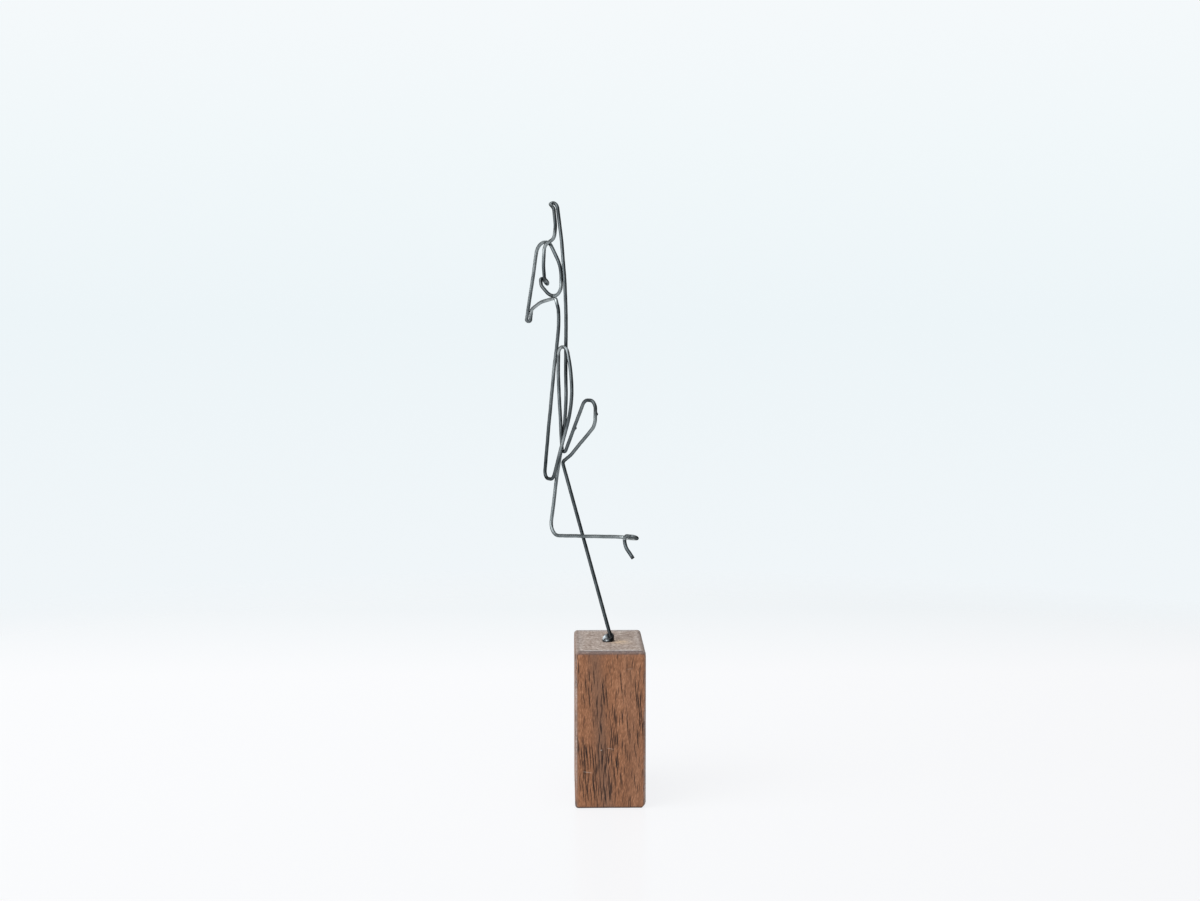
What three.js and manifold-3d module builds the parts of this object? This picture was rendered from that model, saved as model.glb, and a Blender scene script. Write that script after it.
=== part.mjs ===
// A bird bent from one length of round steel wire, standing on one leg in a block of wood.
// Millimetres, +Z up. The origin is the centre of the block's underside.
// The bird is drawn in an upright plane that crosses the block's top at a slant.
// Its bends are given in that plane, as a bender would mark them out:
//   across   along the plane, towards the tail and the lifted foot
//   up       above the block's top
//   forward  how far the wire is pushed out of the plane, so that it passes over itself
//   radius   of the bend at that corner, on the wire's centreline

import * as THREE from 'three';
import { mergeVertices } from 'three/addons/utils/BufferGeometryUtils.js';
import Module from 'manifold-3d';

const wasm = await Module();
wasm.setup();

// ---- driving dimensions ----------------------------------------------------------------

const BLOCK_WIDTH = 20;
const BLOCK_DEPTH = 35;
const BLOCK_HEIGHT = 44.9;
const BLOCK_ROUNDING = 0.8;           // top and bottom edges
const BLOCK_CORNER = 1.0;             // upright edges

const WIRE_DIAMETER = 1.05;
const WIRE_SIDES = 8;
const PLANE_TURN = THREE.MathUtils.degToRad(38);    // from the block's long direction
const PLANE_ASIDE = 0.25;             // how far the plane stands left of the block's middle
const ARC_STEP = THREE.MathUtils.degToRad(15);

const LEG_FOOT_ACROSS = 1.75;         // where the standing leg's centreline meets the top
const LEG_SLANT = -0.456;             // across for each millimetre up
const LEG_SUNK = 12;                  // how far below the top the wire ends

const FIT_GAP = 0.3;                  // between the wire and what it passes through
const BEAD_RADIUS = 1.9;
const BEAD_HEIGHT = 2.2;
const BEAD_ASIDE = 0.8;              // it ran to the left of the leg before it set

// ---- the figure's plane ------------------------------------------------------------------

const ACROSS = new THREE.Vector3(Math.sin(PLANE_TURN), -Math.cos(PLANE_TURN), 0);
const FORWARD = new THREE.Vector3(0, -1, 0);
const UP = new THREE.Vector3(0, 0, 1);

function place(across, up, forward) {
  return new THREE.Vector3(-PLANE_ASIDE, 0, BLOCK_HEIGHT)
    .addScaledVector(ACROSS, across)
    .addScaledVector(UP, up)
    .addScaledVector(FORWARD, forward);
}

function bend(across, up, forward, radius) {
  return { corner: place(across, up, forward), radius };
}

// ---- the bends, in the order of the wire ---------------------------------------------------

const hindToe = () => [
  bend(10.9, 25.9, 5.0, 0),           // cut end
  bend(7.3, 29.0, 4.5, 4),
  bend(7.3, 31.8, 4.1, 1.0),
];

const frontToe = () => [
  bend(12.8, 32.1, 3.8, 0.83),
  bend(12.8, 31.3, 1.4, 0.83),
  bend(10.0, 31.1, 1.4, 3),
];

const liftedLeg = () => [
  bend(6.0, 31.2, 2.45, 6),
  bend(-27.6, 28.3, 1.5, 3.2),        // knee
  bend(-24.2, 45.6, -1.7, 45),
  bend(-19.3, 63.4, -1.9, 66),
];

const back = () => [
  bend(-19.3, 84.0, -1.7, 40),
  bend(-19.2, 104.2, 0, 100),
];

const crest = () => [
  bend(-23.8, 127.2, -0.75, 2.3),
  bend(-27.4, 128.0, -0.85, 0.49),    // pinched tip
  bend(-26.9, 127.1, 0.5, 0.49),
  bend(-25.6, 125.8, 1.05, 1.6),
  bend(-24.6, 120.8, 1.4, 5),
];

const brow = () => [
  bend(-25.15, 117.15, 1.6, 2.2),
  bend(-30.0, 115.1, 1.9, 2.4),
  bend(-30.4, 109.0, 1.8, 12),
];

// The eye is one small tilted turn: down across its front, round behind, and out at the top.
const eye = () => [
  bend(-30.0, 105.3, 1.6, 1.0),
  bend(-28.45, 104.25, 0.3, 0.8),
  bend(-28.5, 103.2, -1.35, 0.8),
  bend(-30.9, 105.45, 0.4, 0.6),
  bend(-31.85, 105.05, 1.95, 0.68),
];

const cheek = () => [
  bend(-31.5, 103.15, 2.0, 2.0),
  bend(-27.4, 100.15, 0.7, 3.9),
  bend(-21.9, 100.2, 0.2, 3.1),
  bend(-21.75, 108.6, -0.1, 10),
  bend(-27.6, 116.05, 0, 3.4),
  bend(-33.1, 116.1, 0, 4),
];

const beak = () => [
  bend(-39.1, 92.5, 0.75, 0.58),
  bend(-37.05, 92.5, -0.8, 0.58),
  bend(-36.5, 96.1, -0.85, 1.5),
  bend(-31.7, 98.35, -0.4, 12),
];

const breast = () => [
  bend(-24.6, 99.55, -0.8, 1.1),      // throat
  bend(-23.15, 96.1, -0.5, 4),
  bend(-23.0, 90.9, -0.2, 28),
  bend(-25.3, 78.6, 0, 120),
  bend(-30.4, 45.3, 0.6, 2.2),        // belly
  bend(-26.0, 45.3, 1.7, 2.2),
];

const wing = () => [
  bend(-20.6, 58.4, 1.9, 180),
  bend(-15.5, 70.9, 1.6, 26),
  bend(-19.25, 84.9, 0.7, 2.4),
  bend(-23.15, 84.95, 0.5, 2.1),
  bend(-23.5, 77.5, 0.2, 60),
  bend(-21.3, 51.6, 0, 1.0),
];

const tail = () => [
  bend(-10.9, 69.6, 0, 2.9),
  bend(-5.75, 69.6, 0, 2.4),
  bend(-5.95, 62.4, 0, 4),
  bend(-17.5, 52.95, 0, 12),
];

function legAt(up) {
  return place(LEG_FOOT_ACROSS + LEG_SLANT * up, up, 0);
}

const standingLeg = () => [
  { corner: legAt(50.7), radius: 1.0 },              // hip
  { corner: legAt(-LEG_SUNK), radius: 0 },           // end in the block
];

// ---- a wire of straight runs and round bends ------------------------------------------------

// Stations along the centreline: the ends of each straight run, and steps around each bend.
function stationsAlong(corners) {
  const stations = [];
  const add = (point, tangent) => {
    const last = stations[stations.length - 1];
    if (!last || last.point.distanceTo(point) > 0.02) stations.push({ point, tangent });
  };
  const heading = (from, to) => new THREE.Vector3().subVectors(to, from).normalize();
  const first = corners[0].corner;
  add(first, heading(first, corners[1].corner));
  for (let i = 1; i < corners.length - 1; i += 1) {
    const { corner, radius } = corners[i];
    const into = heading(corners[i - 1].corner, corner);
    const out = heading(corner, corners[i + 1].corner);
    const turn = into.angleTo(out);
    const inward = out.clone().addScaledVector(into, -into.dot(out)).normalize();
    const start = corner.clone().addScaledVector(into, -radius * Math.tan(turn / 2));
    const steps = Math.ceil(turn / ARC_STEP);
    for (let j = 0; j <= steps; j += 1) {
      const angle = (turn * j) / steps;
      const point = start.clone()
        .addScaledVector(into, radius * Math.sin(angle))
        .addScaledVector(inward, radius * (1 - Math.cos(angle)));
      const tangent = into.clone().multiplyScalar(Math.cos(angle))
        .addScaledVector(inward, Math.sin(angle));
      add(point, tangent);
    }
  }
  const last = corners[corners.length - 1].corner;
  add(last, heading(corners[corners.length - 2].corner, last));
  return stations;
}

class BentWire extends THREE.Curve {
  constructor(corners) {
    super();
    this.stations = stationsAlong(corners);
  }

  get steps() {
    return this.stations.length - 1;
  }

  getPointAt(t) {
    return this.stations[Math.round(t * this.steps)].point.clone();
  }

  getTangentAt(t) {
    return this.stations[Math.round(t * this.steps)].tangent.clone();
  }
}

function roundSection(diameter, sides) {
  const points = [];
  for (let i = 0; i < sides; i += 1) {
    const angle = (2 * Math.PI * i) / sides;
    points.push(new THREE.Vector2(Math.cos(angle), Math.sin(angle)).multiplyScalar(diameter / 2));
  }
  return new THREE.Shape(points);
}

function wireGeometry(corners) {
  const path = new BentWire(corners);
  return new THREE.ExtrudeGeometry(roundSection(WIRE_DIAMETER, WIRE_SIDES), {
    extrudePath: path,
    steps: path.steps,
  });
}

// ---- cutting ---------------------------------------------------------------------------------

function toSolid(geometry) {
  const bare = geometry.clone();
  bare.deleteAttribute('normal');
  bare.deleteAttribute('uv');
  const merged = mergeVertices(bare, 1e-4);
  return new wasm.Manifold(new wasm.Mesh({
    numProp: 3,
    vertProperties: new Float32Array(merged.attributes.position.array),
    triVerts: new Uint32Array(merged.index.array),
  }));
}

function toGeometry(solid) {
  const mesh = solid.getMesh();
  const geometry = new THREE.BufferGeometry();
  geometry.setAttribute('position', new THREE.BufferAttribute(mesh.vertProperties, 3));
  geometry.setIndex(new THREE.BufferAttribute(mesh.triVerts, 1));
  geometry.computeVertexNormals();
  return geometry;
}

// A round bore on the standing leg's centreline, from one height above the top to another.
function legBore(fromUp, toUp) {
  const from = legAt(fromUp);
  const to = legAt(toUp);
  const radius = WIRE_DIAMETER / 2 + FIT_GAP;
  const bore = new THREE.CylinderGeometry(radius, radius, from.distanceTo(to), 16);
  const along = new THREE.Vector3().subVectors(to, from).normalize();
  bore.applyQuaternion(new THREE.Quaternion().setFromUnitVectors(new THREE.Vector3(0, 1, 0), along));
  bore.translate(...from.clone().add(to).multiplyScalar(0.5).toArray());
  return toSolid(bore);
}

// ---- the pieces --------------------------------------------------------------------------------

function roundedRectangle(width, depth, radius) {
  const x = width / 2;
  const y = depth / 2;
  const shape = new THREE.Shape();
  shape.moveTo(-x + radius, -y);
  shape.lineTo(x - radius, -y);
  shape.absarc(x - radius, -y + radius, radius, -Math.PI / 2, 0);
  shape.lineTo(x, y - radius);
  shape.absarc(x - radius, y - radius, radius, 0, Math.PI / 2);
  shape.lineTo(-x + radius, y);
  shape.absarc(-x + radius, y - radius, radius, Math.PI / 2, Math.PI);
  shape.lineTo(-x, -y + radius);
  shape.absarc(-x + radius, -y + radius, radius, Math.PI, 1.5 * Math.PI);
  return shape;
}

function woodenBlock() {
  const inset = 2 * BLOCK_ROUNDING;
  const outline = roundedRectangle(
    BLOCK_WIDTH - inset,
    BLOCK_DEPTH - inset,
    BLOCK_CORNER - BLOCK_ROUNDING,
  );
  const block = new THREE.ExtrudeGeometry(outline, {
    depth: BLOCK_HEIGHT - inset,
    bevelThickness: BLOCK_ROUNDING,
    bevelSize: BLOCK_ROUNDING,
    bevelSegments: 4,
    curveSegments: 3,
  });
  block.translate(0, 0, BLOCK_ROUNDING);
  return toGeometry(toSolid(block).subtract(legBore(-LEG_SUNK - FIT_GAP, 3)));
}

// A hardened drop of glue around the leg: a dome on the block's top with the leg's bore in it.
function glueBead() {
  const profile = [new THREE.Vector2(0, 0)];
  const steps = 8;
  for (let i = 0; i <= steps; i += 1) {
    const angle = (Math.PI / 2) * (i / steps);
    profile.push(new THREE.Vector2(BEAD_RADIUS * Math.cos(angle), BEAD_HEIGHT * Math.sin(angle)));
  }
  profile[profile.length - 1].x = 0;
  const dome = new THREE.LatheGeometry(profile, 24);
  dome.rotateX(Math.PI / 2);
  const centre = legAt(BEAD_HEIGHT / 3);
  dome.translate(centre.x - BEAD_ASIDE, centre.y, BLOCK_HEIGHT);
  return toGeometry(toSolid(dome).subtract(legBore(-1, 2 * BEAD_HEIGHT)));
}

function birdCorners() {
  return [
    ...hindToe(), ...frontToe(), ...liftedLeg(), ...back(), ...crest(), ...brow(), ...eye(),
    ...cheek(), ...beak(), ...breast(), ...wing(), ...tail(), ...standingLeg(),
  ];
}

// ---- materials and assembly ----------------------------------------------------------------------

const darkSteel = new THREE.MeshStandardMaterial({ color: 0x43494b, roughness: 0.42, metalness: 0.85 });
const oiledWood = new THREE.MeshStandardMaterial({ color: 0x7a4a36, roughness: 0.6, metalness: 0 });
const clearGlue = new THREE.MeshStandardMaterial({ color: 0x25282b, roughness: 0.12, metalness: 0 });

function piece(name, geometry, material) {
  const mesh = new THREE.Mesh(geometry, material);
  mesh.name = name;
  return mesh;
}

const sculpture = new THREE.Group();
sculpture.add(piece('wooden_block', woodenBlock(), oiledWood));
sculpture.add(piece('bird_wire', wireGeometry(birdCorners()), darkSteel));
sculpture.add(piece('glue_bead', glueBead(), clearGlue));

export default sculpture;
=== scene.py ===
"""Looks of a bird bent from one length of dark steel wire, standing on one leg in a wooden block.

Everything is in metres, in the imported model's frame: +Z up, the origin at the centre of the
block's underside. Three pieces are worked out here and stand for the three CAD nodes:
bird_line for the wire, oiled_block for the wood and set_glue for the drop around the leg.
"""

import math

import bpy
import numpy as np
from mathutils import Euler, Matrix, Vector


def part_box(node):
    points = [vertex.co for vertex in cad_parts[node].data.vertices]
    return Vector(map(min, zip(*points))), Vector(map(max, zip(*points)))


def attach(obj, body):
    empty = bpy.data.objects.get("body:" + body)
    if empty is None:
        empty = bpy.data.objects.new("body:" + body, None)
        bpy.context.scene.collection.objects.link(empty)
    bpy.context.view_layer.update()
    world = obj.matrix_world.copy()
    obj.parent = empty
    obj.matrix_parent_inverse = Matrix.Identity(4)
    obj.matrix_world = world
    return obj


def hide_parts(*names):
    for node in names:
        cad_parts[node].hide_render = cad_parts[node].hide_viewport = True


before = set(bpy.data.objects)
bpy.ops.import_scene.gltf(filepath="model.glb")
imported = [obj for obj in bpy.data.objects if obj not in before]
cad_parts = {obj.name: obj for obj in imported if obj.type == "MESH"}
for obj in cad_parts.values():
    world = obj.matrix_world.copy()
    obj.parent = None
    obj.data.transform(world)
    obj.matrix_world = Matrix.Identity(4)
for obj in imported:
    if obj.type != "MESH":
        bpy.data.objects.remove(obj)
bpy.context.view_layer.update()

MM = 0.001
RNG = np.random.default_rng(41)

# ---- sizes, taken from the frame -----------------------------------------------------------

block_low, block_high = (np.array(corner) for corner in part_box("wooden_block"))
BLOCK_SIZE = block_high - block_low
BLOCK_TOP = block_high[2]
bead_low, bead_high = (np.array(corner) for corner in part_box("glue_bead"))

WIRE_RADIUS = 0.525 * MM
PLANE_TURN = math.radians(38)         # the figure's plane, from the block's long direction
PLANE_ASIDE = 0.25 * MM               # how far the plane stands left of the block's middle
LEG_FOOT_ACROSS = 1.75                # where the standing leg meets the block's top
LEG_SLANT = -0.456                    # across for each millimetre up
LEG_TOP = 50.7                        # where the standing leg ends, above the block's top
LEG_SUNK = 12                         # how deep it goes into the block

# ---- the wire's bends, in the order of the wire ----------------------------------------------
# Each is (across, up, forward, radius) in millimetres. Across runs along the figure's plane
# towards the tail, up from the block's top, and forward out of the plane towards the front.

HIND_TOE = [
    (10.9, 25.9, 5.0, 0),
    (7.3, 29.0, 4.5, 4),
    (7.3, 31.8, 4.1, 1.0),
]
FRONT_TOE = [
    (12.8, 32.1, 3.8, 0.83),
    (12.8, 31.3, 1.4, 0.83),
    (10.0, 31.1, 1.4, 3),
]
LIFTED_LEG = [
    (6.0, 31.2, 2.45, 6),
    (-27.8, 28.2, 1.5, 4.0),
    (-24.2, 45.6, -1.7, 45),
    (-19.6, 63.4, -1.9, 66),
]
BACK = [
    (-19.7, 84.0, -1.7, 40),
    (-19.2, 104.2, 0, 100),
]
CREST = [
    (-23.8, 127.2, -0.75, 2.3),
    (-27.4, 128.0, -0.85, 0.49),
    (-26.9, 127.1, 0.5, 0.49),
    (-25.3, 125.8, 1.05, 1.6),
    (-24.5, 120.8, 1.4, 5),
]
BROW = [
    (-25.15, 117.15, 1.6, 2.2),
    (-30.0, 115.1, 1.9, 2.4),
    (-30.4, 109.0, 1.8, 12),
]
EYE = [
    (-30.0, 105.3, 1.6, 1.0),
    (-28.45, 104.25, 0.3, 0.8),
    (-28.5, 103.2, -1.35, 0.8),
    (-30.9, 105.45, 0.4, 0.6),
    (-31.85, 105.05, 1.95, 0.68),
]
CHEEK = [
    (-31.5, 103.15, 2.0, 2.0),
    (-27.4, 100.15, 0.7, 3.9),
    (-21.9, 100.2, 0.2, 3.1),
    (-21.75, 108.6, -0.1, 10),
    (-27.6, 116.05, 0, 3.4),
    (-33.1, 116.1, 0, 4),
]
BEAK = [
    (-39.1, 92.5, 0.75, 0.58),
    (-37.05, 92.5, -0.8, 0.58),
    (-36.5, 96.1, -0.85, 1.5),
    (-31.7, 98.35, -0.4, 12),
]
BREAST = [
    (-24.6, 99.55, -0.8, 1.1),
    (-23.15, 96.1, -0.5, 4),
    (-23.0, 90.9, -0.2, 28),
    (-25.3, 78.6, 0, 120),
    (-30.4, 45.3, 0.6, 2.2),
    (-26.0, 45.3, 1.7, 2.2),
]
WING = [
    (-20.6, 58.4, 1.9, 180),
    (-15.2, 70.9, 1.6, 26),
    (-19.25, 84.9, 0.7, 2.4),
    (-23.15, 84.95, 0.5, 2.1),
    (-23.5, 77.5, 0.2, 60),
    (-21.3, 51.6, 0, 1.0),
]
TAIL = [
    (-10.9, 69.6, 0, 2.9),
    (-5.75, 69.6, 0, 2.4),
    (-5.95, 62.4, 0, 4),
    (-17.5, 52.95, 0, 12),
]


def leg_bend(up, radius):
    """A bend on the standing leg's straight line, at a height above the block's top."""
    return (LEG_FOOT_ACROSS + LEG_SLANT * up, up, 0, radius)


BIRD = [
    *HIND_TOE, *FRONT_TOE, *LIFTED_LEG, *BACK, *CREST, *BROW, *EYE, *CHEEK, *BEAK, *BREAST,
    *WING, *TAIL, leg_bend(LEG_TOP, 1.0), leg_bend(-LEG_SUNK, 0),
]

# How bright the wire's colour is at each of those bends, from 0 dark to 1 bright: partly dark
# scale against bare steel, partly painted highlight and shade for how each strand faces the light.
SCALE_AND_PAINTED_LIGHT = [
    0.15, 0.15, 0.5,                            # hind toe
    0.3, 1.0, 1.0,                              # front toe
    0.65, 0.5, 0.5, 0.3,                        # lifted leg
    0.05, 0.3,                                  # back
    0.1, 0.4, 0.5, 0.05, 0.05,                  # crest
    0.6, 0.65, 0.25,                            # brow
    0.0, 0.5, 0.4, 0.25, 0.0,                   # eye
    0.0, 0.0, 0.65, 0.15, 0.3, 0.6,             # cheek
    0.35, 0.3, 0.7, 0.65,                       # beak
    0.9, 0.0, 0.3, 0.5, 0.1, 0.2,               # breast
    0.55, 0.3, 0.5, 0.85, 0.4, 0.3,             # wing
    0.4, 0.1, 0.55, 0.4,                        # tail
    0.05, 0.1,                                  # standing leg
]

# Burrs left where the wire was nicked, on its right: how far along the list of bends, counted
# from 0, and the height in millimetres.
BURRS = [(46.5, 0.36), (48.5, 0.34)]


def place(bends):
    """Block's top centre + across along the turned plane + up + forward, as an (n, 3) array."""
    across, up, forward = np.array(bends, float)[:, :3].T * MM
    return np.stack([
        across * math.sin(PLANE_TURN) - PLANE_ASIDE,
        -across * math.cos(PLANE_TURN) - forward,
        BLOCK_TOP + up,
    ], axis=1)


# ---- vector helpers ------------------------------------------------------------------------


def unit(vectors):
    """Each vector divided by its own length."""
    return vectors / np.linalg.norm(vectors, axis=-1, keepdims=True)


def turned(vector, axis, angles):
    """A vector turned about a unit axis by each of the angles:
    v cos a + (axis x v) sin a + axis (axis . v)(1 - cos a)."""
    cos, sin = np.cos(angles)[:, None], np.sin(angles)[:, None]
    return vector * cos + np.cross(axis, vector) * sin + axis * (axis @ vector) * (1 - cos)


def smooth(x):
    """0 below 0, 1 above 1, and 3x^2 - 2x^3 between."""
    x = np.clip(x, 0, 1)
    return x * x * (3 - 2 * x)


def waves(x, periods, seed):
    """A slow wander in -1 to 1: the mean of one sine of each period, each with its own phase."""
    phases = np.random.default_rng(seed).uniform(0, 2 * math.pi, len(periods))
    return np.mean([np.sin(2 * math.pi * x / p + a) for p, a in zip(periods, phases)], axis=0)


# ---- meshes --------------------------------------------------------------------------------


def grid_faces(rows, columns, first=0):
    """Quads of a grid whose columns close on themselves, each row's vertices in order."""
    row, column = np.meshgrid(np.arange(rows - 1), np.arange(columns), indexing="ij")
    here = first + row * columns + column
    beside = first + row * columns + (column + 1) % columns
    return np.stack([here, beside, beside + columns, here + columns], axis=-1).reshape(-1, 4)


def fan_faces(ring, centre, outward_up):
    """Triangles from a closed ring of vertex numbers to one centre vertex."""
    following = np.roll(ring, -1)
    middle = np.full(len(ring), centre)
    order = (ring, following, middle) if outward_up else (following, ring, middle)
    return np.stack(order, axis=-1)


def new_piece(name, vertices, quads, triangles, attributes, material):
    """A smooth-shaded mesh object at the origin, with a value for each vertex in each attribute."""
    mesh = bpy.data.meshes.new(name)
    mesh.vertices.add(len(vertices))
    mesh.vertices.foreach_set("co", vertices.astype(np.float32).ravel())
    corners = np.concatenate([quads.ravel(), triangles.ravel()]).astype(np.int32)
    sizes = np.concatenate([np.full(len(quads), 4), np.full(len(triangles), 3)])
    starts = np.concatenate([[0], np.cumsum(sizes)[:-1]]).astype(np.int32)
    mesh.loops.add(len(corners))
    mesh.loops.foreach_set("vertex_index", corners)
    mesh.polygons.add(len(sizes))
    mesh.polygons.foreach_set("loop_start", starts)
    mesh.polygons.foreach_set("use_smooth", np.ones(len(sizes), bool))
    mesh.update(calc_edges=True)
    for label, values in attributes.items():
        values = np.asarray(values, np.float32)
        vector = values.ndim == 2
        kind = "FLOAT_VECTOR" if vector else "FLOAT"
        layer = mesh.attributes.new(label, kind, "POINT")
        layer.data.foreach_set("vector" if vector else "value", values.ravel())
    mesh.validate()
    piece = bpy.data.objects.new(name, mesh)
    bpy.context.scene.collection.objects.link(piece)
    mesh.materials.append(material)
    return piece


# ---- materials -----------------------------------------------------------------------------


class Reading:
    """A value that varies over a surface. Its operators add Math nodes to the tree."""

    def __init__(self, nodes, socket):
        self.nodes = nodes
        self.socket = socket

    def _with(self, operation, first, second, clamp=False):
        return self.nodes.node(
            "ShaderNodeMath", {"operation": operation, "use_clamp": clamp}, {0: first, 1: second}
        )

    def __add__(self, other):
        return self._with("ADD", self, other)

    __radd__ = __add__

    def __sub__(self, other):
        return self._with("SUBTRACT", self, other)

    def __rsub__(self, other):
        return self._with("SUBTRACT", other, self)

    def __mul__(self, other):
        return self._with("MULTIPLY", self, other)

    def __truediv__(self, other):
        return self._with("DIVIDE", self, other)

    def __pow__(self, power):
        return self._with("POWER", self, power)

    def clamped(self):
        """The value, held between 0 and 1."""
        return self._with("MULTIPLY", self, 1.0, clamp=True)


class Nodes:
    """A node tree, and the ways to add to it."""

    def __init__(self, tree):
        self.tree = tree

    def node(self, kind, settings=None, inputs=None, output=0):
        """Adds a node, sets its settings and then its sockets, and gives one output to read."""
        made = self.tree.nodes.new(kind)
        for label, value in (settings or {}).items():
            if label == "stops":
                self.set_stops(made.color_ramp.elements, value)
            else:
                setattr(made, label, value)
        for label, value in (inputs or {}).items():
            self.feed(made.inputs[label], value)
        return Reading(self, made.outputs[output])

    def feed(self, socket, value):
        """Links a reading to a socket, or sets the socket to a constant."""
        if isinstance(value, Reading):
            self.tree.links.new(value.socket, socket)
        else:
            socket.default_value = value

    @staticmethod
    def set_stops(elements, stops):
        """Gives a colour ramp these stops, each a position and a colour."""
        for _ in range(len(stops) - len(elements)):
            elements.new(0.5)
        for element, (position, colour) in zip(elements, stops):
            element.position = position
            element.color = (*colour, 1)

    def attribute(self, label, output="Fac"):
        return self.node("ShaderNodeAttribute", {"attribute_name": label}, output=output)

    def coordinates(self, kind="Object"):
        return self.node("ShaderNodeTexCoord", output=kind)

    def split(self, vector):
        """The x, y and z of a vector."""
        first = self.node("ShaderNodeSeparateXYZ", None, {"Vector": vector})
        return [Reading(self, output) for output in first.socket.node.outputs]

    def scaled(self, vector, scale):
        return self.node("ShaderNodeMapping", None, {"Vector": vector, "Scale": scale})

    def placed(self, scale, lean=0.0):
        """The Object coordinates, leant to the right about Y and then scaled, per metre."""
        leant = self.node("ShaderNodeMapping", None,
                          {"Vector": self.coordinates(), "Rotation": (0, lean, 0)})
        return self.scaled(leant, scale)

    def noise(self, vector, detail=3.0, roughness=0.55):
        return self.node("ShaderNodeTexNoise", None, {
            "Vector": vector, "Scale": 1.0, "Detail": detail, "Roughness": roughness,
        })

    def ramp(self, value, stops):
        return self.node("ShaderNodeValToRGB", {"stops": stops}, {"Fac": value})

    def mix(self, share, first, second):
        first, second = ((*c, 1) if isinstance(c, tuple) else c for c in (first, second))
        return self.node("ShaderNodeMix", {"data_type": "RGBA"},
                         {0: share, 6: first, 7: second}, output=2)

    def bump(self, height, distance, strength, under=None):
        inputs = {"Height": height, "Distance": distance, "Strength": strength}
        if under is not None:
            inputs["Normal"] = under
        return self.node("ShaderNodeBump", None, inputs)


class Recipe(Nodes):
    """One material, with its node tree and its Principled shader."""

    def __init__(self, name, **constants):
        self.material = bpy.data.materials.new(name)
        self.material.use_nodes = True
        super().__init__(self.material.node_tree)
        self.shader = next(n for n in self.tree.nodes if n.type == "BSDF_PRINCIPLED")
        self.to_shader(**constants)

    def to_shader(self, **inputs):
        """Feeds the shader's sockets, named with _ for each space."""
        for label, value in inputs.items():
            self.feed(self.shader.inputs[label.replace("_", " ")], value)


# How fine each noise is across x, y and z, in features per metre. The wire's are in its skin's
# own space, where z runs along the wire.
DRAWN_STREAKS = (4200, 4200, 120)
SCALE_CLOUDS = (600, 600, 170)
WOOD_BANDS = (170, 170, 10)
WOOD_STREAKS = (1300, 1300, 85)
WOOD_FIBRES = (6500, 6500, 900)
WOOD_VESSELS = (2100, 2100, 130)
END_MOTTLE = (1500, 1100, 1500)
END_RINGS = (420, 900, 420)
GLUE_RIPPLES = (1300, 1300, 1300)

GRAIN_LEAN = math.radians(-4.5)
FRONT_FADE = 17.0                     # marks on the front face show from this far forward

# Scratches on the front face: (x, z, half length, lean, half width) in millimetres, strength.
SCRATCHES = [
    (-2.6, 16.8, 0.28, 0.2, 0.22, 1.0),
    (-0.2, 17.3, 0.9, -0.12, 0.10, 0.7),
    (0.5, 17.0, 0.7, 0.35, 0.08, 0.6),
    (-6.5, 10.5, 1.4, -0.14, 0.12, 0.8),
    (5.4, 40.0, 1.1, 0.1, 0.12, 0.35),
]


def annealed_steel():
    """Dark oxide scale over steel: blue-grey and satin, thinner on some stretches, with painted
    highlight and shade.
    """
    recipe = Recipe("annealed_steel", Metallic=1.0, Specular_Tint=(0.08, 0.08, 0.08, 1))
    skin = recipe.attribute("skin_space", "Vector")
    drawn = recipe.noise(recipe.scaled(skin, DRAWN_STREAKS), 3)
    cloud = recipe.noise(recipe.scaled(skin, SCALE_CLOUDS), 3, 0.5)
    # The brightness follows the scale's patches and also paints highlight and shade: the ramp runs
    # from dark scale and painted shade to bare steel and painted highlight.
    bright = recipe.attribute("sheen") + (cloud - 0.5) * 0.30 + (drawn - 0.5) * 0.20
    scale = recipe.ramp(bright, [
        (0.05, (0.040, 0.049, 0.053)),
        (0.35, (0.120, 0.140, 0.149)),
        (0.60, (0.265, 0.300, 0.310)),
        (0.95, (0.520, 0.565, 0.572)),
    ])
    rubbed = recipe.attribute("rubbed")
    bare = recipe.mix((rubbed * drawn * 0.28).clamped(), scale, (0.34, 0.35, 0.34))
    recipe.to_shader(
        # Near black at the nipped end and on the burrs, and painted shade on the leg just above the
        # glue.
        Base_Color=recipe.mix(recipe.attribute("cut"), bare, (0.02, 0.021, 0.023)),
        Roughness=0.34 + cloud * 0.14,
        Normal=recipe.bump(drawn, 0.012 * MM, 0.4),
    )
    return recipe.material


def scratch(recipe, x, z, half_length, lean, half_width):
    """1 on a short thin line on the front face, 0 off it: x and z its middle, in millimetres.

    Along the line it falls off as 1 - (distance / half length)^2, and across it likewise."""
    at_x, at_y, at_z = recipe.split(recipe.coordinates())
    along = at_x / MM - x
    above = at_z / MM - z - along * lean
    front = (at_y * -1 / MM - FRONT_FADE).clamped()
    ends = (1.0 - (along / half_length) ** 2.0).clamped()
    return front * ends * (1.0 - (above / half_width) ** 2.0).clamped()


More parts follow.
